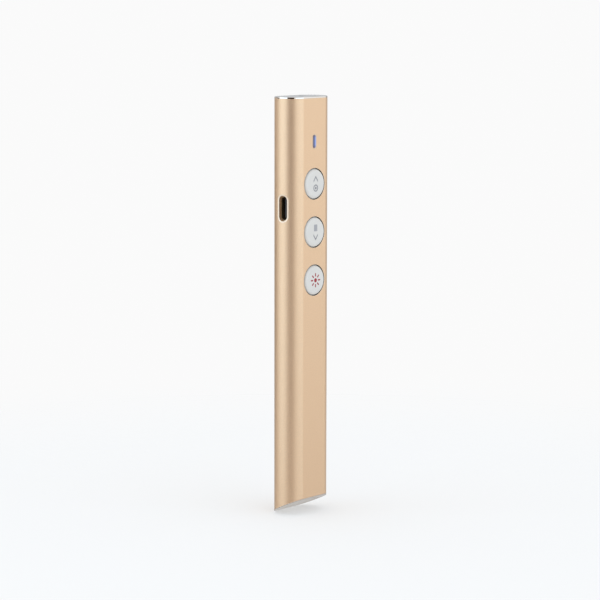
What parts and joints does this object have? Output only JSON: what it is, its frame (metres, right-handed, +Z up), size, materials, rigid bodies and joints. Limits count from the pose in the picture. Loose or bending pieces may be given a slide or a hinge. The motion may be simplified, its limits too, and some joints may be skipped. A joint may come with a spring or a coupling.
{
  "type": "presentation clicker",
  "caption": "Slim upright presentation clicker: anodised extruded tube, chrome ends, round keys, side charging port, laser in the top and a pull-out receiver.",
  "frame": {"origin": "under the tube's axis, level with the lowest tip of the slanted end", "axes": "+Z up the body to the laser end, front face with the buttons towards -Y, charging port towards -X"},
  "size_m": [0.022, 0.0132, 0.15],
  "materials": {
    "gold_anodised": "fine bead-blasted, anodised",
    "bright_chrome": "polished plating",
    "button_white": "satin moulded",
    "clear_window": "clear",
    "blue_guide": "translucent, lit from behind",
    "blue_led": "lit",
    "brass": "turned",
    "steel": "plain",
    "lens_clear": "polished",
    "black_plastic": "fine texture",
    "board_green": "solder mask",
    "chip_black": "matt epoxy",
    "ceramic_tan": "plain",
    "contact_gold": "plated",
    "battery_foil": "dull laminate",
    "wire_red": "smooth insulation",
    "wire_black": "smooth insulation",
    "foam_grey": "open foam",
    "magnet_nickel": "nickel plated"
  },
  "bodies": {
    "handset": {"body_tube": "gold_anodised", "top_cap": "bright_chrome", "laser_window": "clear_window", "laser_barrel": "brass", "laser_diode": "steel", "collimator_lens": "lens_clear", "lens_ring": "black_plastic", "chassis": "black_plastic", "key_frame": "black_plastic", "frame_screws": "steel", "circuit_board": "board_green", "push_switch_top": "steel", "push_switch_middle": "steel", "push_switch_bottom": "steel", "light_guide": "blue_guide", "status_led": "blue_led", "usb_c_shell": "steel", "usb_c_tongue": "black_plastic", "usb_c_contacts": "contact_gold", "slide_switch_body": "steel", "radio_chip": "chip_black", "charger_chip": "chip_black", "crystal": "steel", "chip_antenna": "ceramic_tan", "small_parts": "ceramic_tan", "battery_cell": "battery_foil", "battery_tabs": "steel", "cell_guard_board": "board_green", "lead_red": "wire_red", "lead_black": "wire_black", "foam_pad": "foam_grey", "end_cap": "bright_chrome", "end_screw": "steel", "dock_magnets": "magnet_nickel"},
    "top_key": {"button_top": "button_white", "plunger_top": "black_plastic"},
    "middle_key": {"button_middle": "button_white", "plunger_middle": "black_plastic"},
    "bottom_key": {"button_bottom": "button_white", "plunger_bottom": "black_plastic"},
    "power_slider": {"power_knob": "gold_anodised", "slide_switch_nub": "black_plastic"},
    "receiver": {"receiver_grip": "bright_chrome", "receiver_shell": "steel", "receiver_board": "board_green", "receiver_tongue": "black_plastic", "receiver_contacts": "contact_gold"}
  },
  "joints": [
    {"name": "top_button_press", "type": "slide", "parent": "handset", "child": "top_key", "axis": [0, 1, 0], "range_m": [0, 0.00025], "stiffness_N_per_m": 2000},
    {"name": "middle_button_press", "type": "slide", "parent": "handset", "child": "middle_key", "axis": [0, 1, 0], "range_m": [0, 0.00025], "stiffness_N_per_m": 2000},
    {"name": "bottom_button_press", "type": "slide", "parent": "handset", "child": "bottom_key", "axis": [0, 1, 0], "range_m": [0, 0.00025], "stiffness_N_per_m": 2000},
    {"name": "power_slide", "type": "slide", "parent": "handset", "child": "power_slider", "axis": [0, 0, 1], "range_m": [-0.002, 0]},
    {"name": "receiver_slide", "type": "slide", "parent": "handset", "child": "receiver", "axis": [0, 0, -1], "range_m": [0, 0.018]}
  ]
}
